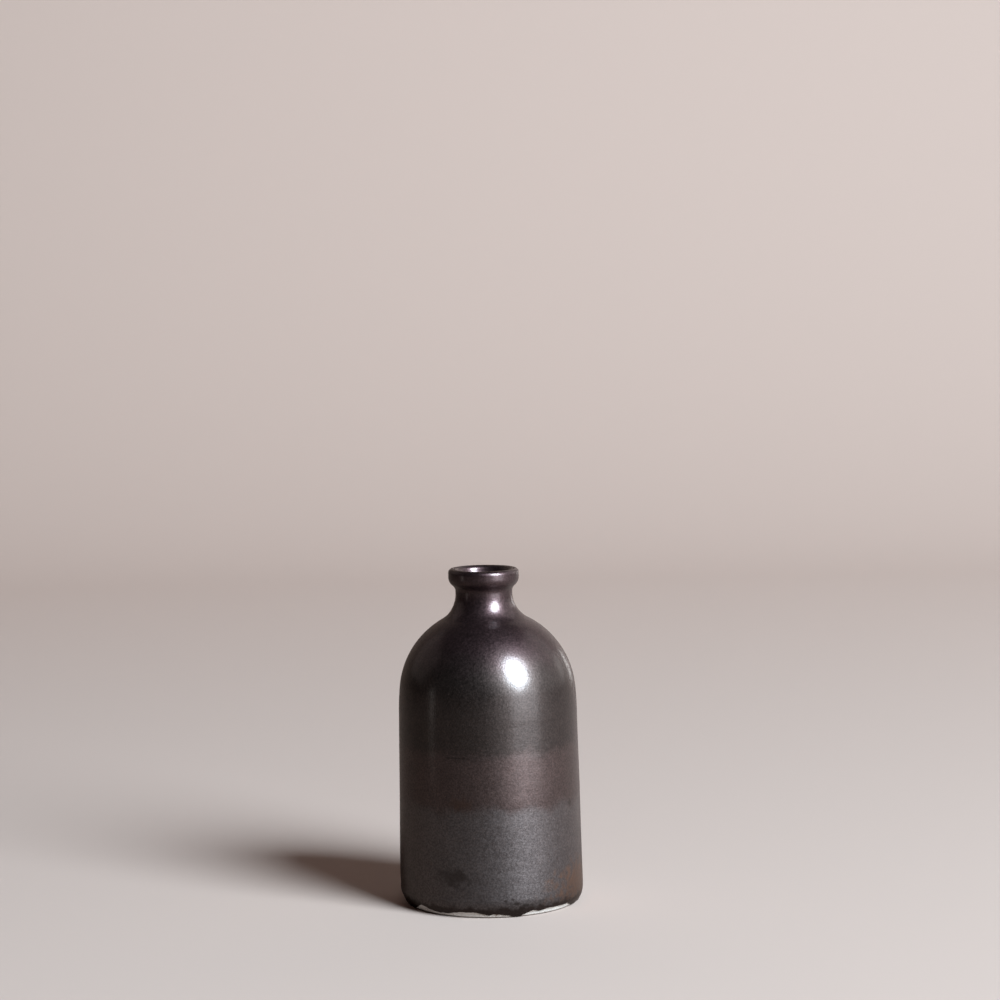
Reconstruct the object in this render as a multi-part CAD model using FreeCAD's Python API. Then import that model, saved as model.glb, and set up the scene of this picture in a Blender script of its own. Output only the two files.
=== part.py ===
# A small stoneware bottle vase, in millimetres, +Z up, origin at the centre of the foot on the ground.
# It is a thrown clay bottle under three coats of glaze: a lower dip and an upper dip that overlap in a
# band round the belly, and a liner that was poured inside.
import FreeCAD, Part
import math
import os

# Driving dimensions of the glazed outside.
HEIGHT = 110.9
FOOT_R = 27.9
HEEL_Z = 5.8
HEEL_ROUND_R = 4.0
HEEL_TURN = math.radians(31)
BELLY_R = 30.55
SHOULDER_R = 29.6
SHOULDER_Z = 62.9
SHOULDER_ARC_R = 88.7
SHOULDER_TURN = math.radians(5.9)
DOME_ARC_R = 28.55
NECK_R = 9.45
NECK_FILLET_R = 9.75
NECK_STRAIGHT = 0.8
LIP_R = 11.75
LIP_UNDERSIDE_R = 2.6
LIP_UNDERSIDE_TURN = math.radians(52)
LIP_CREST_R = 1.1

# Driving dimensions of the glazed inside.
WALL = 3.3
FLOOR_Z = 5.0
INNER_HEEL_R = 7.0
THROAT_R = 6.9
THROAT_FILLET_R = 11.0
THROAT_TOP_Z = 104.2
MOUTH_R = 8.4
MOUTH_ROUND_R = 1.5

# The coats of glaze and the bare foot.
GLAZE = 0.4
LINER = 0.3
UPPER_OVER_LOWER = 0.15
GLAZE_LINE_Z = 1.3
OVERLAP_LOW_Z = 35.5
OVERLAP_HIGH_Z = 53.0
RECESS_R = 22.5
RECESS_DEPTH = 1.2
RECESS_BEVEL = 1.0


def point(r, z):
    return FreeCAD.Vector(r, 0, z)


def on_circle(centre, radius, angle):
    return (centre[0] + radius * math.cos(angle), centre[1] + radius * math.sin(angle))


class Outline:
    """A chain of tangent lines and arcs in the RZ plane."""

    def __init__(self, start):
        self.at = start
        self.edges = []

    def line(self, end):
        if math.dist(self.at, end) > 1e-6:
            self.edges.append(Part.LineSegment(point(*self.at), point(*end)).toShape())
        self.at = end
        return self

    def arc(self, centre, radius, first, last):
        middle = on_circle(centre, radius, (first + last) / 2)
        end = on_circle(centre, radius, last)
        self.edges.append(Part.Arc(point(*self.at), point(*middle), point(*end)).toShape())
        self.at = end
        return self

    def start(self):
        first = self.edges[0].firstVertex(True).Point
        return (first.x, first.z)


def fillet_to_neck(dome_centre, dome_radius, neck_radius, fillet_radius):
    """Centre of the hollow arc that leads from a dome to an upright neck, and where it leaves the dome."""
    across = neck_radius + fillet_radius - dome_centre[0]
    rise = math.sqrt((dome_radius + fillet_radius) ** 2 - across ** 2)
    centre = (neck_radius + fillet_radius, dome_centre[1] + rise)
    return centre, math.atan2(rise, across)


def wall_radius(z, inset):
    """Radius of the nearly upright wall, which narrows slightly from heel to shoulder."""
    share = (z - HEEL_Z) / (SHOULDER_Z - HEEL_Z)
    return BELLY_R + (SHOULDER_R - BELLY_R) * share - inset


def heel_round(inset):
    """Centre and radius of the small arc where the wall turns in to the bevel above the foot."""
    return (BELLY_R - HEEL_ROUND_R, HEEL_Z), HEEL_ROUND_R - inset


def bevel_radius(z, inset):
    """Radius of the straight bevel that leads in from the heel to the foot."""
    top = on_circle(*heel_round(inset), -HEEL_TURN)
    return top[0] - (top[1] - z) * math.tan(HEEL_TURN)


def shoulder_centres(inset):
    """Centre and radius of the shoulder's arc, then of the dome's arc that follows it."""
    first = (SHOULDER_R - SHOULDER_ARC_R, SHOULDER_Z)
    shift = SHOULDER_ARC_R - DOME_ARC_R
    second = on_circle(first, shift, SHOULDER_TURN)
    return first, SHOULDER_ARC_R - inset, second, DOME_ARC_R - inset


def add_heel(outline, inset):
    """Up the bevel and round the heel to the wall."""
    centre, radius = heel_round(inset)
    outline.line(on_circle(centre, radius, -HEEL_TURN))
    outline.arc(centre, radius, -HEEL_TURN, 0.0)
    return outline


def add_shoulder(outline, inset):
    """From the top of the wall over the shoulder to the foot of the neck's straight stretch."""
    first, first_r, second, second_r = shoulder_centres(inset)
    outline.line((first[0] + first_r, first[1]))
    outline.arc(first, first_r, 0.0, SHOULDER_TURN)
    centre, leave = fillet_to_neck(second, second_r, NECK_R - inset, NECK_FILLET_R + inset)
    outline.arc(second, second_r, SHOULDER_TURN, leave)
    outline.arc(centre, NECK_FILLET_R + inset, math.pi + leave, math.pi)
    return outline


def add_lip(outline, inset):
    """Up the neck's short straight stretch, then under and round the lip to the top of its crest."""
    outline.line((outline.at[0], outline.at[1] + NECK_STRAIGHT))
    turn = LIP_UNDERSIDE_TURN
    under = (outline.at[0] + LIP_UNDERSIDE_R + inset, outline.at[1])
    outline.arc(under, LIP_UNDERSIDE_R + inset, math.pi, math.pi - turn)
    side_r = (LIP_R - inset - outline.at[0]) / (1 - math.cos(turn))
    side = (LIP_R - inset - side_r, outline.at[1] + side_r * math.sin(turn))
    outline.arc(side, side_r, -turn, 0.0)
    crest_z = HEIGHT - LIP_CREST_R
    outline.line((LIP_R - inset, crest_z))
    outline.arc((LIP_R - LIP_CREST_R, crest_z), LIP_CREST_R - inset, 0.0, math.pi / 2)
    return outline


def inside(depth):
    """The inside from the middle of the floor up to the crest, depth beneath the liner's surface."""
    floor_z = FLOOR_Z - depth
    heel_r = INNER_HEEL_R + depth
    wall_low = wall_radius(FLOOR_Z + INNER_HEEL_R, WALL - depth)
    outline = Outline((0.0, floor_z))
    outline.line((wall_low - heel_r, floor_z))
    outline.arc((wall_low - heel_r, floor_z + heel_r), heel_r, -math.pi / 2, 0.0)
    first, first_r, second, second_r = shoulder_centres(WALL - depth)
    outline.line((first[0] + first_r, first[1]))
    outline.arc(first, first_r, 0.0, SHOULDER_TURN)
    throat = THROAT_R + depth
    centre, leave = fillet_to_neck(second, second_r, throat, THROAT_FILLET_R - depth)
    outline.arc(second, second_r, SHOULDER_TURN, leave)
    outline.arc(centre, THROAT_FILLET_R - depth, math.pi + leave, math.pi)
    outline.line((throat, THROAT_TOP_Z))
    mouth = MOUTH_R + depth
    round_z = HEIGHT - MOUTH_ROUND_R
    outline.line((mouth, round_z))
    centre = (MOUTH_R + MOUTH_ROUND_R, round_z)
    outline.arc(centre, MOUTH_ROUND_R - depth, math.pi, math.pi / 2)
    return outline


def revolve(outline):
    """A solid of revolution from a closed outline."""
    outline.line(outline.start())
    face = Part.Face(Part.Wire(Part.sortEdges(outline.edges)[0]))
    solid = face.revolve(FreeCAD.Vector(0, 0, 0), FreeCAD.Vector(0, 0, 1), 360)
    return solid if solid.Volume > 0 else solid.reversed()


def closed(outer, inner):
    """One closed chain: up the outer outline, across, and back down the inner one."""
    chain = Outline(outer.start())
    chain.edges = list(outer.edges)
    chain.at = outer.at
    chain.line(inner.at)
    chain.edges += inner.edges
    chain.at = inner.start()
    return chain


def stoneware_body():
    """The fired clay, with a shallow recess turned under its flat foot ring."""
    outer = Outline((0.0, RECESS_DEPTH))
    outer.line((RECESS_R - RECESS_BEVEL, RECESS_DEPTH))
    outer.line((RECESS_R, 0.0))
    outer.line((FOOT_R, 0.0))
    outer.line((bevel_radius(GLAZE_LINE_Z, GLAZE), GLAZE_LINE_Z))
    add_heel(outer, GLAZE)
    add_shoulder(outer, GLAZE)
    add_lip(outer, GLAZE)
    return revolve(closed(outer, inside(LINER)))


def lower_glaze_coat():
    """The first dip, from the glaze line above the foot to the top of the overlap."""
    outer = Outline((bevel_radius(GLAZE_LINE_Z, 0.0), GLAZE_LINE_Z))
    add_heel(outer, 0.0)
    outer.line((wall_radius(OVERLAP_LOW_Z, 0.0), OVERLAP_LOW_Z))
    outer.line((wall_radius(OVERLAP_LOW_Z, UPPER_OVER_LOWER), OVERLAP_LOW_Z))
    outer.line((wall_radius(OVERLAP_HIGH_Z, UPPER_OVER_LOWER), OVERLAP_HIGH_Z))
    inner = Outline((bevel_radius(GLAZE_LINE_Z, GLAZE), GLAZE_LINE_Z))
    add_heel(inner, GLAZE)
    inner.line((wall_radius(OVERLAP_HIGH_Z, GLAZE), OVERLAP_HIGH_Z))
    return revolve(closed(outer, inner))


def upper_glaze_coat():
    """The second dip, from the bottom of the overlap over the shoulder, neck and lip to the liner."""
    crest_end_r = MOUTH_R + MOUTH_ROUND_R
    outer = Outline((wall_radius(OVERLAP_LOW_Z, 0.0), OVERLAP_LOW_Z))
    add_shoulder(outer, 0.0)
    add_lip(outer, 0.0)
    outer.line((crest_end_r, HEIGHT))
    inner = Outline((wall_radius(OVERLAP_LOW_Z, UPPER_OVER_LOWER), OVERLAP_LOW_Z))
    inner.line((wall_radius(OVERLAP_HIGH_Z, UPPER_OVER_LOWER), OVERLAP_HIGH_Z))
    inner.line((wall_radius(OVERLAP_HIGH_Z, GLAZE), OVERLAP_HIGH_Z))
    add_shoulder(inner, GLAZE)
    add_lip(inner, GLAZE)
    inner.line((crest_end_r, HEIGHT - LINER))
    return revolve(closed(outer, inner))


def liner_glaze():
    """The glaze poured inside, up to the crest of the lip."""
    return revolve(closed(inside(0.0), inside(LINER)))


NODES = {
    "stoneware_body": stoneware_body,
    "lower_glaze_coat": lower_glaze_coat,
    "upper_glaze_coat": upper_glaze_coat,
    "liner_glaze": liner_glaze,
}

os.makedirs("parts", exist_ok=True)
for name, make in NODES.items():
    shape = make()
    print(name, shape.isValid(), round(shape.Volume, 1))
    shape.exportStep(f"parts/{name}.step")
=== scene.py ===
import math

import bpy
import numpy as np
from mathutils import Euler, Matrix, Vector, noise


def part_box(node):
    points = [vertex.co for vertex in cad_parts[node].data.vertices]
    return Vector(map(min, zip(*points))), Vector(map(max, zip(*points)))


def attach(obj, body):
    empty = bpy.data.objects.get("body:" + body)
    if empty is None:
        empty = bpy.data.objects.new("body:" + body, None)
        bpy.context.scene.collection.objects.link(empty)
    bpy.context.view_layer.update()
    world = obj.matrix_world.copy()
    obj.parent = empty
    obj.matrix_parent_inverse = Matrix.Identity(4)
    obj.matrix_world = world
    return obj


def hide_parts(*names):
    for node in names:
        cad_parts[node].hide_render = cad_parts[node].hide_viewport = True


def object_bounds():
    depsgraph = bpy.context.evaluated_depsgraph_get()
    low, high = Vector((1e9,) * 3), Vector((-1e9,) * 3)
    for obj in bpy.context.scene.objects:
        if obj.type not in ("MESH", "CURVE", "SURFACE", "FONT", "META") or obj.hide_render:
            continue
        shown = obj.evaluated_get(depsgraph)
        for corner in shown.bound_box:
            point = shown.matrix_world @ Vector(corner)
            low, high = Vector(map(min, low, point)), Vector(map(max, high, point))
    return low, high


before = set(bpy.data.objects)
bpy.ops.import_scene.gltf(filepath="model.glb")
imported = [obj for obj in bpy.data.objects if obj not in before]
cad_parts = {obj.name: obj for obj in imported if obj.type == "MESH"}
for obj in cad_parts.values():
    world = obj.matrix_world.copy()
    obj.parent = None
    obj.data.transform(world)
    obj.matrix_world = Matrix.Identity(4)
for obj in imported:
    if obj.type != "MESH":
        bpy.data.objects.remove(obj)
cad_low, cad_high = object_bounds()

# A small stoneware bottle vase: a thrown clay body, a lower and an upper coat of dark satin glaze that
# overlap round the belly, and a liner glaze inside. Everything is in metres in the frame of the CAD.
# Angles round the vase are measured from its front, -Y, towards +X.
MM = 0.001
lower_low, lower_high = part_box("lower_glaze_coat")
upper_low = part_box("upper_glaze_coat")[0]
liner_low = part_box("liner_glaze")[0]

# Sizes of the glazed outside.
HEIGHT = cad_high.z
BELLY_R = cad_high.x
GLAZE_LINE_Z = lower_low.z
OVERLAP_LOW_Z = upper_low.z
OVERLAP_HIGH_Z = lower_high.z
FLOOR_Z = liner_low.z
FOOT_R = 27.9 * MM
FOOT_ROUND_R = 1.2 * MM
HEEL_Z = 5.8 * MM
HEEL_ROUND_R = 4.0 * MM
HEEL_TURN = math.radians(31)
SHOULDER_R = 29.6 * MM
SHOULDER_Z = 62.9 * MM
SHOULDER_ARC_R = 88.7 * MM
SHOULDER_TURN = math.radians(5.9)
DOME_ARC_R = 28.55 * MM
NECK_R = 9.45 * MM
NECK_FILLET_R = 9.75 * MM
NECK_STRAIGHT = 0.8 * MM
LIP_R = 11.75 * MM
LIP_UNDERSIDE_R = 2.6 * MM
LIP_UNDERSIDE_TURN = math.radians(52)
LIP_CREST_R = 1.1 * MM

# Sizes of the glazed inside, and of the recess under the foot.
WALL = 3.3 * MM
INNER_HEEL_R = 7.0 * MM
THROAT_R = 6.9 * MM
THROAT_FILLET_R = 11.0 * MM
THROAT_TOP_Z = 104.2 * MM
MOUTH_R = 8.4 * MM
MOUTH_ROUND_R = 1.5 * MM
RECESS_R = 22.5 * MM
RECESS_DEPTH = 1.2 * MM
RECESS_BEVEL = 1.0 * MM

# Thickness of the coats, and the relief where they end.
GLAZE = 0.4 * MM
LINER = 0.3 * MM
UPPER_OVER_LOWER = 0.15 * MM
SUNK = 0.05 * MM
BEAD = 0.45 * MM
BEAD_ROLL = 0.06 * MM
ROLL_FROM_EDGE = 0.9 * MM
ROLL_SPREAD = 0.7 * MM
DIP_STEP = 0.02 * MM
DIP_STEP_LENGTH = 3 * MM

# Spans in which the thickness changes near the dip lines, as heights from the line.
STEP_STARTS = (0.0, 1.5 * MM)
STEP_ENDS = (-0.8 * MM, 0.2 * MM)
LAP_STARTS = (0.8 * MM, 2.6 * MM)
LAP_ENDS = (-0.1 * MM, 0.1 * MM)

# The thrown form leans a little to -X, and its neck a little more.
LEAN = 0.0045
NECK_LEAN = 0.43 * MM
NECK_LEAN_FROM_Z = 91 * MM
NECK_LEAN_TO_Z = 100 * MM

# It strays from true by an oval, a three-sided swell, slow lumps and faint throwing rings. The four
# amounts are in millimetres, and it is true at the floor.
OVAL = 0.08
OVAL_TURN = 0.8
THREE_SIDED = 0.04
THREE_SIDED_TURN = 2.1
LUMPS = 0.10
LUMP_SIZE = 24 * MM
RINGS = 0.005
RING_PITCH = 4.2 * MM
RING_PATCH_SIZE = 15 * MM
STRAYS_FULLY_Z = 8 * MM

# The heel is rounder than a true bevel. It is fuller on the +X side and softer on the -X side.
HEEL_SWELL = 0.5 * MM
HEEL_SWELL_RIGHT = 0.6 * MM
HEEL_SWELL_FULL_Z = 1.6 * MM
HEEL_SWELL_TOP_Z = 5.4 * MM
HEEL_SOFTEN = 0.22 * MM
HEEL_SOFTEN_Z = 6.4 * MM
HEEL_SOFTEN_SPREAD = 1.8 * MM

# Fine rings left by the turning tool under the foot, which fade out before the foot ring.
TURNING_DEPTH = 0.05 * MM
TURNING_PITCH = 1.6 * MM
TURNING_FADE = (RECESS_R - 3 * MM, RECESS_R - 1.5 * MM)
TURNING_TOP_Z = RECESS_DEPTH * 1.01

# How closely the outline is sampled, and how far apart the meshes' rows are. The rows near the coats'
# edges are given by their distances from the edge in millimetres.
SAMPLE_STEP = 0.15 * MM
ARC_STEP = math.radians(5)
SEGMENTS = 400
ANGLES = np.arange(SEGMENTS) * 2 * math.pi / SEGMENTS
ROW_STEP = 0.5 * MM
FOOT_STEP = 0.8 * MM
HEEL_STEP = 0.15 * MM
HEEL_LENGTH = 8 * MM
HIDDEN_STEP = 1.5 * MM
MOUTH_STEP = 0.4 * MM
MOUTH_LENGTH = 12 * MM
INSIDE_STEP = 1.2 * MM
LOWER_EDGE_ROWS = (0, 0.02, 0.05, 0.1, 0.16, 0.24, 0.34, 0.45, 0.6, 0.8, 1.1, 1.5, 2, 2.5, 3)
UPPER_EDGE_ROWS = (0, 0.03, 0.08, 0.15, 0.25, 0.4, 0.6, 0.9)
LOWER_EDGE_TOP_Z = 4 * MM

# Unevenness of the glaze's lower edge and of the two dip lines, as layers of noise with an amount in
# millimetres and a size. The edge is softened over EDGE_SPREAD degrees and is never under EDGE_LOWEST mm.
EDGE_SPREAD = 1.0
EDGE_LOWEST = 0.12
EDGE_STEPS = ((0.22, 1.4 * MM), (0.12, 0.6 * MM))
DIP_WANDER = ((0.7, 18 * MM), (0.2, 4 * MM))

# Height of the glaze's wavy lower edge above the floor: degrees round the vase, and millimetres.
GLAZE_EDGE = (
    (-165, 1.2), (-140, 0.8), (-118, 1.4), (-95, 0.9), (-75, 0.4), (-63, 0.4), (-60, 0.8), (-57, 1.6),
    (-51, 2.7), (-47, 2.2), (-44, 1.6), (-41, 1.3), (-36, 1.2), (-29, 1.3), (-25, 1.6), (-21, 2.1),
    (-11, 2.1), (-7, 1.7), (-1, 1.0), (0.5, 1.5), (6, 1.4), (10, 0.8), (15, 0.4), (20, 0.4),
    (22, 1.2), (25, 1.8), (28, 2.1), (32, 1.3), (35, 1.7), (38, 2.0), (57, 1.8), (64, 0.5),
    (84, 0.5), (102, 1.1), (126, 0.7), (150, 1.6), (172, 0.9),
)


def smooth_step(value, low, high):
    """0 below low and 1 above high, with a soft change between."""
    share = np.clip((value - low) / (high - low), 0.0, 1.0)
    return share * share * (3 - 2 * share)


def around(points, spread):
    """A closed curve through (degrees, value) points, sampled at ANGLES and softened over spread degrees."""
    degrees = [degree for degree, _ in points]
    values = [value for _, value in points]
    here = (np.degrees(ANGLES) + 180) % 360 - 180
    offsets = np.linspace(-spread, spread, 5)
    return np.mean([np.interp(here + o, degrees, values, period=360) for o in offsets], axis=0)


def noise_on(points, size, seed):
    """Smooth noise from -1 to 1 at an array of points, with features about size across."""
    shift = Vector((seed * 7.3, seed * 3.1, seed * 5.7))
    flat = points.reshape(-1, 3) / size
    values = [noise.noise(Vector(p) + shift) for p in flat.tolist()]
    return np.array(values).reshape(points.shape[:-1])


def on_circle(centre, radius, angle):
    return (centre[0] + radius * math.cos(angle), centre[1] + radius * math.sin(angle))


class Outline:
    """Lines and arcs in the RZ plane, walked with the clay on the left, and sampled closely."""

    def __init__(self, r, z):
        self.at = (r, z)
        self.samples = []
        self.marks = {}

    def add(self, r, z, normal):
        """One sample, with its direction out of the clay. At a corner the two directions are averaged."""
        facing = Vector((math.cos(normal), math.sin(normal)))
        self.at = (r, z)
        if self.samples and math.dist(self.samples[-1][0], self.at) < 1e-8:
            facing = (self.samples.pop()[1] + facing).normalized()
        self.samples.append((self.at, facing))

    def line(self, r, z):
        start = self.at
        normal = math.atan2(z - start[1], r - start[0]) - math.pi / 2
        steps = max(2, math.ceil(math.dist(start, (r, z)) / SAMPLE_STEP))
        for share in np.linspace(0, 1, steps + 1):
            self.add(start[0] + (r - start[0]) * share, start[1] + (z - start[1]) * share, normal)

    def arc(self, centre, radius, first, last):
        facing = 0.0 if last > first else math.pi
        length = abs(last - first)
        steps = math.ceil(max(radius * length / SAMPLE_STEP, length / ARC_STEP))
        for angle in np.linspace(first, last, steps + 1):
            self.add(*on_circle(centre, radius, angle), angle + facing)

    def mark(self, name):
        self.marks[name] = len(self.samples) - 1

    def finish(self):
        """Turns the samples into arrays, and the marks into distances along the outline."""
        places = np.array([place for place, _ in self.samples])
        self.facing = np.array([tuple(facing) for _, facing in self.samples])
        steps = np.hypot(*np.diff(places, axis=0).T)
        self.along = np.concatenate(([0.0], np.cumsum(steps)))
        self.r, self.z = places.T
        self.marks = {name: self.along[index] for name, index in self.marks.items()}

    def at_distance(self, along):
        """Radius, height and facing at distances along the outline."""
        columns = (self.r, self.z, self.facing[:, 0], self.facing[:, 1])
        return [np.interp(along, self.along, column) for column in columns]

    def distance_at_height(self, z, start, end):
        """Distance along the rising stretch between two marks, where it passes height z."""
        inside = (self.along >= self.marks[start]) & (self.along <= self.marks[end])
        return np.interp(z, self.z[inside], self.along[inside])


def wall_radius(z, inset):
    share = (z - HEEL_Z) / (SHOULDER_Z - HEEL_Z)
    return BELLY_R + (SHOULDER_R - BELLY_R) * share - inset


def shoulder_arcs(inset):
    first = (SHOULDER_R - SHOULDER_ARC_R, SHOULDER_Z)
    second = on_circle(first, SHOULDER_ARC_R - DOME_ARC_R, SHOULDER_TURN)
    return first, SHOULDER_ARC_R - inset, second, DOME_ARC_R - inset


def neck_fillet(dome_centre, dome_r, neck_r, fillet_r):
    """Centre of the hollow arc from the dome to the neck, and the angle at which it leaves the dome."""
    across = neck_r + fillet_r - dome_centre[0]
    rise = math.sqrt((dome_r + fillet_r) ** 2 - across ** 2)
    return (neck_r + fillet_r, dome_centre[1] + rise), math.atan2(rise, across)


def add_foot(path):
    """From the middle of the recess, under the foot ring and up to the bevel."""
    path.line(RECESS_R - RECESS_BEVEL, RECESS_DEPTH)
    path.line(RECESS_R, 0.0)
    path.line(FOOT_R - FOOT_ROUND_R, 0.0)
    path.mark("foot")
    path.arc((FOOT_R - FOOT_ROUND_R, FOOT_ROUND_R), FOOT_ROUND_R, -math.pi / 2, 0.0)


def add_outside(path, inset):
    """Up the bevel, round the heel, up the wall and over the shoulder and neck to the lip's crest."""
    heel = (BELLY_R - HEEL_ROUND_R, HEEL_Z)
    bevel_top = on_circle(heel, HEEL_ROUND_R - inset, -HEEL_TURN)
    path.line(bevel_top[0] - (bevel_top[1] - GLAZE_LINE_Z) * math.tan(HEEL_TURN), GLAZE_LINE_Z)
    path.line(*bevel_top)
    path.arc(heel, HEEL_ROUND_R - inset, -HEEL_TURN, 0.0)
    first, first_r, second, second_r = shoulder_arcs(inset)
    path.line(first[0] + first_r, first[1])
    path.arc(first, first_r, 0.0, SHOULDER_TURN)
    neck, leave = neck_fillet(second, second_r, NECK_R - inset, NECK_FILLET_R + inset)
    path.arc(second, second_r, SHOULDER_TURN, leave)
    path.arc(neck, NECK_FILLET_R + inset, math.pi + leave, math.pi)
    path.line(path.at[0], path.at[1] + NECK_STRAIGHT)
    turn = LIP_UNDERSIDE_TURN
    under = (path.at[0] + LIP_UNDERSIDE_R + inset, path.at[1])
    path.arc(under, LIP_UNDERSIDE_R + inset, math.pi, math.pi - turn)
    side_r = (LIP_R - inset - path.at[0]) / (1 - math.cos(turn))
    path.arc((LIP_R - inset - side_r, path.at[1] + side_r * math.sin(turn)), side_r, -turn, 0.0)
    crest = (LIP_R - LIP_CREST_R, HEIGHT - LIP_CREST_R)
    path.line(LIP_R - inset, crest[1])
    path.arc(crest, LIP_CREST_R - inset, 0.0, math.pi / 2)
    path.mark("crest_outside")


def add_inside(path, inset):
    """Over the crest and down the inside to the middle of the floor."""
    mouth = (MOUTH_R + MOUTH_ROUND_R, HEIGHT - MOUTH_ROUND_R)
    path.line(mouth[0], HEIGHT - inset)
    path.mark("crest_inside")
    path.arc(mouth, MOUTH_ROUND_R - inset, math.pi / 2, math.pi)
    throat = THROAT_R + inset
    path.line(throat, THROAT_TOP_Z)
    first, first_r, second, second_r = shoulder_arcs(WALL - inset)
    fillet, leave = neck_fillet(second, second_r, throat, THROAT_FILLET_R - inset)
    path.line(throat, fillet[1])
    path.arc(fillet, THROAT_FILLET_R - inset, math.pi, math.pi + leave)
    path.arc(second, second_r, leave, SHOULDER_TURN)
    path.arc(first, first_r, SHOULDER_TURN, 0.0)
    heel_r = INNER_HEEL_R + inset
    corner = (wall_radius(FLOOR_Z + INNER_HEEL_R, WALL - inset) - heel_r, FLOOR_Z + INNER_HEEL_R)
    path.line(corner[0] + heel_r, corner[1])
    path.arc(corner, heel_r, 0.0, -math.pi / 2)
    path.line(0.0, FLOOR_Z - inset)
    path.mark("floor_middle")


def clay_outline():
    path = Outline(0.0, RECESS_DEPTH)
    add_foot(path)
    add_outside(path, GLAZE)
    add_inside(path, LINER)
    path.finish()
    return path


CLAY = clay_outline()


def hump(value, middle, width):
    """1 at the middle, falling off softly on both sides."""
    return np.exp(-(((value - middle) / width) ** 2))


def handmade(points):
    """How far the thrown form strays outwards from true at an array of points."""
    x, y, z = points[..., 0], points[..., 1], points[..., 2]
    angle = np.arctan2(x, -y)
    oval = OVAL * np.sin(2 * angle + OVAL_TURN) + THREE_SIDED * np.sin(3 * angle + THREE_SIDED_TURN)
    lumps = LUMPS * noise_on(points, LUMP_SIZE, 1)
    patches = 0.6 + noise_on(points, RING_PATCH_SIZE, 2)
    rings = RINGS * np.sin(2 * math.pi * z / RING_PITCH + angle) * patches
    fade = smooth_step(z, 0.0, STRAYS_FULLY_Z)
    right = np.maximum(np.sin(angle), 0.0)
    left = np.maximum(-np.sin(angle), 0.0)
    heel = HEEL_SWELL + HEEL_SWELL_RIGHT * right
    heel = heel * (1 - smooth_step(z, HEEL_SWELL_FULL_Z, HEEL_SWELL_TOP_Z))
    heel -= HEEL_SOFTEN * left * hump(z, HEEL_SOFTEN_Z, HEEL_SOFTEN_SPREAD)
    heel *= smooth_step(np.hypot(x, y), RECESS_R, FOOT_R - FOOT_ROUND_R)
    return (oval + lumps + rings) * fade * MM + heel


def surface(along, thickness):
    """Points at distances along the clay's outline, raised by thickness: arrays of rows by SEGMENTS."""
    along = np.broadcast_to(along, (len(along), SEGMENTS))
    r, z, face_r, face_z = CLAY.at_distance(along)
    r = np.maximum(r + face_r * thickness, 0.0)
    z = z + face_z * thickness
    points = np.stack((r * np.sin(ANGLES), -r * np.cos(ANGLES), z), axis=-1)
    stray = handmade(points)
    height = points[..., 2]
    lean = LEAN * height + NECK_LEAN * smooth_step(height, NECK_LEAN_FROM_Z, NECK_LEAN_TO_Z)
    points[..., 0] += stray * np.sin(ANGLES) - lean
    points[..., 1] -= stray * np.cos(ANGLES)
    return points


def lathe(name, rows, material, node, first_point=False, last_point=False):
    """A closed smooth mesh from rows of rings. A ring at either end may be drawn in to one point."""
    vertices, rings = [], []
    for index, row in enumerate(rows):
        if (index == 0 and first_point) or (index == len(rows) - 1 and last_point):
            rings.append([len(vertices)] * SEGMENTS)
            vertices.append(tuple(row.mean(axis=0)))
        else:
            rings.append(list(range(len(vertices), len(vertices) + SEGMENTS)))
            vertices += [tuple(point) for point in row]
    if not first_point:
        rings.append(rings[0])
    faces = []
    for low, high in zip(rings, rings[1:]):
        for here in range(SEGMENTS):
            beside = (here + 1) % SEGMENTS
            corners = (low[here], low[beside], high[beside], high[here])
            faces.append(tuple(dict.fromkeys(corners)))
    mesh = bpy.data.meshes.new(name)
    mesh.from_pydata(vertices, [], faces)
    mesh.shade_smooth()
    piece = bpy.data.objects.new(name, mesh)
    bpy.context.scene.collection.objects.link(piece)
    mesh.materials.append(material)
    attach(piece, "root")
    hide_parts(node)
    return piece


def rows_between(start, end, step=ROW_STEP):
    """Evenly spaced distances along the outline, as a column."""
    return np.linspace(start, end, math.ceil((end - start) / step) + 1)[:, None]


def uneven(radius, layers, seed):
    """Noise round a circle, in millimetres: the sum of layers of amount and size."""
    ring = np.stack((np.sin(ANGLES), -np.cos(ANGLES), np.zeros(SEGMENTS)), axis=-1) * radius
    return sum(amount * noise_on(ring, size, seed + step) for step, (amount, size) in enumerate(layers))


def edge_rows(start, end, near, length):
    """Distances from a coat's uneven edge to its end: rows close to the edge, then ROW_STEP apart."""
    near = np.array(near)[:, None] * MM
    share = np.linspace(0, 1, math.ceil(length / ROW_STEP))[1:, None]
    return np.concatenate((start + near, start + near[-1] + (end - start - near[-1]) * share))


def glaze_edge_height():
    """Height of the lower edge all round, with small jagged steps on the slow wave."""
    jagged = uneven(FOOT_R, EDGE_STEPS, 3)
    return np.maximum(around(GLAZE_EDGE, EDGE_SPREAD) + jagged, EDGE_LOWEST) * MM


def dip_line(height, seed):
    """A nearly level line where a dip ended, which wanders a little."""
    return height + uneven(BELLY_R, DIP_WANDER, seed) * MM


EDGE_HEIGHT = glaze_edge_height()
LOW_LINE = dip_line(OVERLAP_LOW_Z, 5)
HIGH_LINE = dip_line(OVERLAP_HIGH_Z, 7)


def bead(distance):
    """Share of the full thickness at a distance from a coat's rounded edge."""
    return np.sqrt(1 - (1 - np.clip(distance / BEAD, 0.0, 1.0)) ** 2)


def past_line(z, line, span):
    """0 below a dip line and 1 above it, with a soft change in a span of heights from the line."""
    return smooth_step(z, line + span[0], line + span[1])


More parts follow.
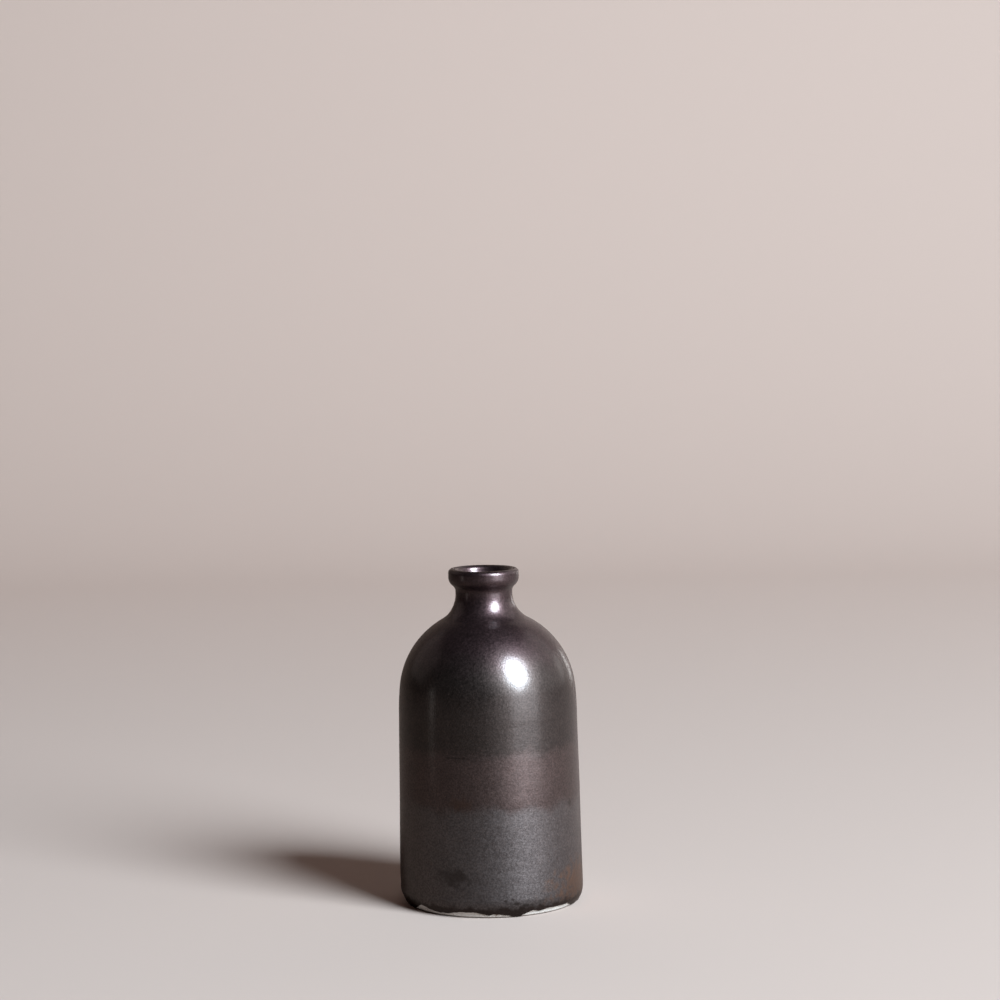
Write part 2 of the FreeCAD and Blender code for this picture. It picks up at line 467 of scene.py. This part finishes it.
def outer_thickness(along):
    """Thickness of all the outside glaze, with a slight step at each end of the overlap."""
    z = CLAY.at_distance(along)[1]
    in_band = past_line(z, LOW_LINE, STEP_STARTS) - past_line(z, HIGH_LINE, STEP_ENDS)
    over_crest = smooth_step(along, CLAY.marks["crest_outside"], CLAY.marks["crest_inside"])
    return GLAZE + DIP_STEP * in_band - (GLAZE - LINER) * over_crest


def make_body(material):
    """The clay, from the recess under the foot over the lip to the floor inside."""
    marks = CLAY.marks
    heel_end = marks["foot"] + HEEL_LENGTH
    along = np.concatenate((
        rows_between(0.0, marks["foot"], FOOT_STEP)[:-1],
        rows_between(marks["foot"], heel_end, HEEL_STEP)[:-1],
        rows_between(heel_end, marks["floor_middle"], HIDDEN_STEP),
    ))
    rows = surface(along, 0.0)
    rows[..., 2] += turned_rings(rows)
    return lathe("clay_body", rows, material, "stoneware_body",
                 first_point=True, last_point=True)


def turned_rings(points):
    """Fine rings left by the turning tool in the recess under the foot."""
    radius = np.hypot(points[..., 0], points[..., 1])
    angle = np.arctan2(points[..., 0], -points[..., 1])
    rings = TURNING_DEPTH * np.sin(2 * math.pi * radius / TURNING_PITCH + angle)
    underside = points[..., 2] < TURNING_TOP_Z
    within = 1 - smooth_step(radius, *TURNING_FADE)
    return np.where(underside, rings * within, 0.0)


def make_lower_coat(material):
    """The lower dip, from its beaded edge above the foot to the top of the overlap."""
    start = CLAY.distance_at_height(EDGE_HEIGHT, "foot", "crest_outside")
    end = CLAY.distance_at_height(HIGH_LINE, "foot", "crest_outside")
    along = edge_rows(start, end, LOWER_EDGE_ROWS, OVERLAP_HIGH_Z - LOWER_EDGE_TOP_Z)
    from_edge = along - start
    z = CLAY.at_distance(along)[1]
    thickness = outer_thickness(along) * bead(from_edge)
    thickness += BEAD_ROLL * hump(from_edge, ROLL_FROM_EDGE, ROLL_SPREAD)
    thickness -= UPPER_OVER_LOWER * past_line(z, LOW_LINE, LAP_STARTS)
    outer = surface(along, thickness)
    # The hidden back needs only a quarter of the rows.
    sparse = along[::-1][::4]
    inner = surface(np.concatenate((along[-1:], sparse[1:], along[:1])), -SUNK)
    rows = np.concatenate((outer, inner))
    return lathe("lower_coat", rows, material, "lower_glaze_coat")


def make_upper_coat(material):
    """The upper dip, from its soft edge on the lower coat over the shoulder and lip to the liner."""
    start = CLAY.distance_at_height(LOW_LINE, "foot", "crest_outside")
    end = CLAY.marks["crest_inside"]
    along = edge_rows(start, end, UPPER_EDGE_ROWS, end - start.mean())
    under = outer_thickness(along) - UPPER_OVER_LOWER
    z = CLAY.at_distance(along)[1]
    thickness = under + UPPER_OVER_LOWER * bead(along - start)
    thickness += DIP_STEP * smooth_step(along - start, 0.0, DIP_STEP_LENGTH)
    outer = surface(along, thickness)
    on_lower = 1 - past_line(z, HIGH_LINE, LAP_ENDS)
    inner = surface(along[::-1], (under * on_lower)[::-1] - SUNK)
    rows = np.concatenate((outer, inner))
    return lathe("upper_coat", rows, material, "upper_glaze_coat")


def make_liner(material):
    """The glaze inside: its back against the clay, then its shown side from the crest to the floor."""
    start, end = CLAY.marks["crest_inside"], CLAY.marks["floor_middle"]
    mouth = rows_between(start, start + MOUTH_LENGTH, MOUTH_STEP)
    along = np.concatenate((mouth[:-1], rows_between(mouth[-1, 0], end, INSIDE_STEP)))
    rows = np.concatenate((surface(along[::-1], -SUNK), surface(along, LINER)))
    return lathe("liner", rows, material, "liner_glaze",
                 first_point=True, last_point=True)


# Sockets of the Mix node that mixes colours: inputs of share, first and second, and the output.
MIX_SHARE = 0
MIX_FIRST = 6
MIX_SECOND = 7
MIX_RESULT = 2


class Shader:
    """Short ways to build one material's nodes, in the object's own coordinates."""

    def __init__(self, name):
        self.material = bpy.data.materials.new(name)
        self.material.use_nodes = True
        self.tree = self.material.node_tree
        self.surface = self.tree.nodes["Principled BSDF"]
        self.place = self.node("ShaderNodeTexCoord").outputs["Object"]
        self.z = self.node("ShaderNodeSeparateXYZ", [self.place]).outputs["Z"]

    def node(self, kind, inputs=(), **settings):
        """A node with its inputs filled in order, by a value or a link. None leaves one alone."""
        made = self.tree.nodes.new(kind)
        for setting, value in settings.items():
            setattr(made, setting, value)
        self.fill(made, enumerate(inputs))
        return made

    def fill(self, node, inputs):
        for key, value in inputs:
            if isinstance(value, bpy.types.NodeSocket):
                self.tree.links.new(value, node.inputs[key])
            elif value is not None:
                node.inputs[key].default_value = value

    def set(self, **inputs):
        """Inputs of the surface shader, with _ for a space in their names."""
        self.fill(self.surface, ((key.replace("_", " "), value) for key, value in inputs.items()))

    def math(self, operation, *values):
        return self.node("ShaderNodeMath", values, operation=operation).outputs[0]

    def vector_math(self, operation, *values):
        return self.node("ShaderNodeVectorMath", values, operation=operation)

    def noise(self, size, detail=2.0, roughness=0.5):
        """Noise from 0 to 1 with features about size across."""
        made = self.node("ShaderNodeTexNoise", [self.place])
        self.fill(made, (("Scale", 1 / size), ("Detail", detail), ("Roughness", roughness)))
        return made.outputs[0]

    def wander(self, size, detail, amount):
        """Noise round zero, from half of the amount below to half above."""
        return self.math("MULTIPLY", self.math("SUBTRACT", self.noise(size, detail), 0.5), amount)

    def span(self, value, low, high, to_low=0.0, to_high=1.0):
        """Maps low to high onto another span, smoothly and held at its ends."""
        made = self.node("ShaderNodeMapRange", [value, low, high, to_low, to_high])
        made.interpolation_type = "SMOOTHSTEP"
        return made.outputs[0]

    def mix(self, share, first, second, blend="MIX"):
        made = self.node("ShaderNodeMix", data_type="RGBA", blend_type=blend)
        self.fill(made, ((MIX_SHARE, share), (MIX_FIRST, first), (MIX_SECOND, second)))
        return made.outputs[MIX_RESULT]

    def blot(self, degrees, height, width, tall):
        """A soft ragged spot on the wall: 1 at its middle, 0 outside."""
        angle = math.radians(degrees)
        centre = (BELLY_R * math.sin(angle), -BELLY_R * math.cos(angle), height)
        scale = (1 / width, 1 / width, 1 / tall)
        away = self.vector_math("SUBTRACT", self.place, centre).outputs[0]
        scaled = self.vector_math("MULTIPLY", away, scale).outputs[0]
        length = self.vector_math("LENGTH", scaled).outputs["Value"]
        return self.span(self.math("ADD", length, self.wander(2 * MM, 2.0, 1.6)), 1.0, 0.2)

    def bump(self, height, distance, normal=None):
        made = self.node("ShaderNodeBump")
        self.fill(made, (("Height", height), ("Distance", distance), ("Strength", 1.0)))
        if normal is not None:
            self.tree.links.new(normal, made.inputs["Normal"])
        return made.outputs[0]


def colour(red, green, blue):
    return (red, green, blue, 1.0)


# Tones of the glaze and of its marks, then of the clay.
UPPER_TONE = colour(0.072, 0.055, 0.050)
BAND_TONE = colour(0.122, 0.084, 0.078)
NECK_TONE = colour(0.085, 0.052, 0.055)
LOWER_TONE = colour(0.160, 0.136, 0.133)
# Painted shade for the glaze's heel, which darkens towards the foot.
HEEL_SHADE_TONE = colour(0.040, 0.022, 0.018)
# Painted warm reflection of the floor, for the low +X side of the glaze.
WARM_REFLECTION_TONE = colour(0.29, 0.165, 0.11)
RUST_TONE = colour(0.12, 0.060, 0.035)
# Soot for the smudges and specks, and painted shade for the thin line along a dip edge.
SOOT_AND_SHADE_TONE = colour(0.045, 0.032, 0.028)
SPECK_TONE = colour(0.50, 0.47, 0.44)
CLAY_TONE = colour(0.50, 0.45, 0.41)
PALE_CLAY_TONE = colour(0.60, 0.56, 0.52)
IRON_TONE = colour(0.16, 0.09, 0.06)
# Painted contact shade for the foot's rim where it meets the floor.
CONTACT_SHADE_TONE = colour(0.09, 0.05, 0.035)

# Heights in which one tone of the glaze gives way to the next.
BAND_STARTS = (OVERLAP_LOW_Z - 3 * MM, OVERLAP_LOW_Z + 2.5 * MM)
BAND_ENDS = (OVERLAP_HIGH_Z - 2 * MM, OVERLAP_HIGH_Z + 3 * MM)
NECK_STARTS = (76 * MM, 90 * MM)
# Painted shade: heights over which the glaze's heel darkens towards the foot.
HEEL_SHADE_SPAN = (4.3 * MM, 2.8 * MM)
# Painted contact shade: heights over which the bare clay darkens towards the floor.
CONTACT_SHADE_SPAN = (0.55 * MM, 0.15 * MM)

# Marks on the glaze: degrees round, height, width and tallness in millimetres, strength and tone.
MARKS = (
    # The first mark is a painted warm reflection of the floor, low on the +X side.
    (74, 8.0, 21.0, 10.0, 0.85, WARM_REFLECTION_TONE),
    (-19, 37.5, 6.0, 3.0, 0.45, RUST_TONE), (-25, 13.3, 8.5, 4.6, 0.55, SOOT_AND_SHADE_TONE),
    (-21, 13.6, 4.5, 3.0, 0.35, SOOT_AND_SHADE_TONE), (61, 34.7, 1.8, 1.8, 0.7, SOOT_AND_SHADE_TONE),
    (8, 6.1, 1.3, 0.6, 0.8, SOOT_AND_SHADE_TONE), (13, 6.4, 0.9, 0.6, 0.8, SOOT_AND_SHADE_TONE),
    (16, 4.8, 2.4, 0.7, 0.8, SOOT_AND_SHADE_TONE), (22, 4.2, 3.2, 0.7, 0.7, SOOT_AND_SHADE_TONE),
    # The thin dark line 52.6 mm up is painted shade along a dip line's edge.
    (-20, 52.6, 8.0, 0.4, 0.7, SOOT_AND_SHADE_TONE), (42, 57.7, 0.35, 0.35, 1.0, SPECK_TONE),
)


def glaze_material(name):
    """Dark satin glaze: brown above, redder in the overlap and greyer below, with a fine orange peel."""
    s = Shader(name)
    level = s.math("ADD", s.z, s.wander(8 * MM, 4.0, 8 * MM))
    tone = s.mix(s.span(level, *BAND_STARTS), LOWER_TONE, BAND_TONE)
    tone = s.mix(s.span(level, *BAND_ENDS), tone, UPPER_TONE)
    tone = s.mix(s.span(level, *NECK_STARTS), tone, NECK_TONE)
    mottle = s.span(s.noise(5 * MM, 4.0, 0.6), 0.3, 0.7, 0.92, 1.08)
    grain = s.span(s.noise(0.6 * MM, 2.0), 0.3, 0.7, 0.76, 1.28)
    tone = s.mix(1.0, tone, s.math("MULTIPLY", mottle, grain), "MULTIPLY")
    # The marks include a painted warm reflection and a painted line of shade; the others are stains and
    # specks.
    for degrees, height, width, tall, share, mark in MARKS:
        blot = s.blot(degrees, height * MM, width * MM, tall * MM)
        tone = s.mix(s.math("MULTIPLY", blot, share), tone, mark)
    # Painted shade: the glaze darkens towards the foot where the heel turns under.
    heel = s.span(s.math("ADD", s.z, s.wander(2.5 * MM, 3.0, 4 * MM)), *HEEL_SHADE_SPAN)
    tone = s.mix(s.math("MULTIPLY", heel, 0.8), tone, HEEL_SHADE_TONE)
    peel = s.bump(s.noise(0.5 * MM, 1.5), 0.026 * MM)
    peel = s.bump(s.noise(3.5 * MM, 1.0), 0.02 * MM, peel)
    rough = s.span(s.noise(0.9 * MM, 3.0), 0.25, 0.75, 0.34, 0.45)
    s.set(Base_Color=tone, Metallic=0.95, Roughness=rough, Normal=peel, IOR=1.5)
    s.set(Coat_Weight=1.0, Coat_Roughness=0.2, Coat_IOR=1.5, Coat_Normal=peel)
    return s.material


def clay_material():
    """Dry buff stoneware with a sandy grain, a few iron specks and painted contact shade along the rim where
    it stands.
    """
    s = Shader("bare stoneware")
    base = s.mix(s.span(s.noise(6 * MM, 3.0), 0.3, 0.7), CLAY_TONE, PALE_CLAY_TONE)
    grain = s.span(s.noise(0.35 * MM, 3.0, 0.7), 0.25, 0.75, 0.8, 1.15)
    base = s.mix(1.0, base, grain, "MULTIPLY")
    specks = s.span(s.noise(0.8 * MM, 0.0), 0.74, 0.80)
    base = s.mix(s.math("MULTIPLY", specks, 0.7), base, IRON_TONE)
    # Painted contact shade: the clay darkens in the last half millimetre above the floor.
    rim = s.span(s.z, *CONTACT_SHADE_SPAN)
    base = s.mix(s.math("MULTIPLY", rim, 0.85), base, CONTACT_SHADE_TONE)
    bumps = s.bump(s.noise(0.4 * MM, 3.0, 0.7), 0.06 * MM)
    s.set(Base_Color=base, Roughness=0.9, Normal=bumps, IOR=1.45, Specular_IOR_Level=0.3)
    return s.material


make_body(clay_material())
make_lower_coat(glaze_material("lower glaze"))
make_upper_coat(glaze_material("upper glaze"))
make_liner(glaze_material("liner glaze"))

# The stage: a wide pale floor that sweeps up behind, soft lights and the camera.
STAGE_HALF_WIDTH = 4.0
STAGE_FRONT = -3.0
SWEEP_START = 0.9
SWEEP_R = 0.8
SWEEP_TOP = 2.4
SWEEP_STEPS = 24
PALE = colour(0.566, 0.462, 0.410)
# The floor's colours in reflections: painted darker, with a painted pool of window light towards +X.
FLOOR_IN_GLOSS = colour(0.110, 0.078, 0.062)
BRIGHT_FLOOR_IN_GLOSS = colour(0.31, 0.240, 0.212)
FLOOR_BRIGHTENS = (-0.01, 0.14)
DIM_ROOM = colour(0.012, 0.009, 0.008)


def stage_material():
    """Pale and plain. In reflections it is painted darker, with a painted pool of window light towards +X.
    """
    s = Shader("pale floor")
    in_gloss = s.node("ShaderNodeLightPath").outputs["Is Glossy Ray"]
    x = s.node("ShaderNodeSeparateXYZ", [s.place]).outputs["X"]
    reflected = s.mix(s.span(x, *FLOOR_BRIGHTENS), FLOOR_IN_GLOSS, BRIGHT_FLOOR_IN_GLOSS)
    s.set(Base_Color=s.mix(in_gloss, PALE, reflected), Roughness=0.95, Specular_IOR_Level=0.1)
    return s.material


def make_stage():
    """The floor and the sweep behind it, as one strip."""
    strip = [(STAGE_FRONT, 0.0), (SWEEP_START, 0.0)]
    for turn in np.linspace(0, math.pi / 2, SWEEP_STEPS + 1)[1:]:
        strip.append((SWEEP_START + SWEEP_R * math.sin(turn), SWEEP_R * (1 - math.cos(turn))))
    strip.append((SWEEP_START + SWEEP_R, SWEEP_TOP))
    vertices = [(x, y, z) for y, z in strip for x in (-STAGE_HALF_WIDTH, STAGE_HALF_WIDTH)]
    faces = [(2 * i, 2 * i + 1, 2 * i + 3, 2 * i + 2) for i in range(len(strip) - 1)]
    mesh = bpy.data.meshes.new("floor")
    mesh.from_pydata(vertices, [], faces)
    mesh.shade_smooth()
    floor = bpy.data.objects.new("floor", mesh)
    bpy.context.scene.collection.objects.link(floor)
    mesh.materials.append(stage_material())


def direction(azimuth, elevation):
    """Unit vector towards a light: azimuth from the front, -Y, towards +X, in degrees."""
    a, e = math.radians(azimuth), math.radians(elevation)
    return Vector((math.sin(a) * math.cos(e), -math.cos(a) * math.cos(e), math.sin(e)))


MIDDLE = Vector((0, 0, HEIGHT / 2))
BACKDROP_FOOT = Vector((0, 1.6, 0.1))
BACKDROP_LIGHT_SPREAD = math.radians(100)

# Each light: name, azimuth and elevation in degrees, distance, width and height, power in watts, tint.
WINDOW = ("window", 45.5, 32, 2.6, (1.4, 1.95), 156, (0.85, 0.99, 1.10))
OVERHEAD_FILL = ("overhead fill", -20, 80, 3.0, (3.0, 3.0), 3, (1.0, 0.38, 0.22))
BACKDROP_LIGHT = ("backdrop light", 180, 57, 1.85, (2.4, 1.0), 2.65, (1.0, 0.86, 0.80))
CARDS = (
    ("side card", 95, 28, 2.5, (3.2, 2.4), 12, (1.0, 0.94, 0.93)),
    ("right card", 142, 4, 2.5, (2.0, 1.4), 6.5, (1.0, 0.96, 0.93)),
    ("shoulder card", 148, 4, 1.2, (0.06, 0.26), 0.22, (1.0, 0.98, 0.96)),
    ("table card", 49, 3, 0.42, (0.27, 0.16), 0.225, (0.93, 0.98, 1.05)),
    ("left strip", -75, 1, 0.40, (0.02, 0.12), 0.008, (1.0, 0.95, 0.90)),
    ("left card", -120, 26, 2.5, (2.4, 1.6), 1.4, (1.0, 0.85, 0.80)),
)


def area_light(name, azimuth, elevation, distance, size, power, tint, shape="RECTANGLE", aim=MIDDLE):
    """A soft light placed round the middle of the vase, which faces the vase unless it has another aim."""
    light = bpy.data.lights.new(name, "AREA")
    light.shape = shape
    light.size, light.size_y = size
    light.energy = power
    light.color = tint
    lamp = bpy.data.objects.new(name, light)
    lamp.location = MIDDLE + direction(azimuth, elevation) * distance
    lamp.rotation_euler = (lamp.location - aim).to_track_quat("Z", "Y").to_euler()
    lamp.visible_camera = False
    bpy.context.scene.collection.objects.link(lamp)
    return lamp


def make_lights():
    """One big window, fills that light only matt surfaces, and cards that show only in the gloss."""
    area_light(*WINDOW, shape="ELLIPSE")
    overhead_fill = area_light(*OVERHEAD_FILL)
    backdrop_light = area_light(*BACKDROP_LIGHT, aim=BACKDROP_FOOT)
    backdrop_light.data.spread = BACKDROP_LIGHT_SPREAD
    for fill in (overhead_fill, backdrop_light):
        fill.visible_glossy = False
    for card in CARDS:
        area_light(*card).visible_diffuse = False


def make_world():
    """Pale behind the stage for the camera, and dim in reflections."""
    world = bpy.data.worlds.new("studio")
    bpy.context.scene.world = world
    world.use_nodes = True
    tree = world.node_tree
    seen = tree.nodes.new("ShaderNodeLightPath").outputs["Is Camera Ray"]
    mix = tree.nodes.new("ShaderNodeMix")
    mix.data_type = "RGBA"
    tree.links.new(seen, mix.inputs[MIX_SHARE])
    mix.inputs[MIX_FIRST].default_value = DIM_ROOM
    mix.inputs[MIX_SECOND].default_value = PALE
    tree.links.new(mix.outputs[MIX_RESULT], tree.nodes["Background"].inputs["Color"])


CAMERA_PLACE = Vector((0.0050, -0.900, 0.2135))
CAMERA_PITCH = math.radians(5.08)
CAMERA_ROLL = math.radians(1.01)
CAMERA_LENS = 98.6


def make_camera():
    camera = bpy.data.objects.new("camera", bpy.data.cameras.new("camera"))
    bpy.context.scene.collection.objects.link(camera)
    camera.data.lens = CAMERA_LENS
    level = Euler((math.pi / 2 - CAMERA_PITCH, 0, 0)).to_matrix()
    camera.rotation_euler = (level @ Matrix.Rotation(-CAMERA_ROLL, 3, "Z")).to_euler()
    camera.location = CAMERA_PLACE
    bpy.context.scene.camera = camera


make_stage()
make_lights()
make_world()
make_camera()
bpy.context.scene.view_settings.view_transform = "Standard"
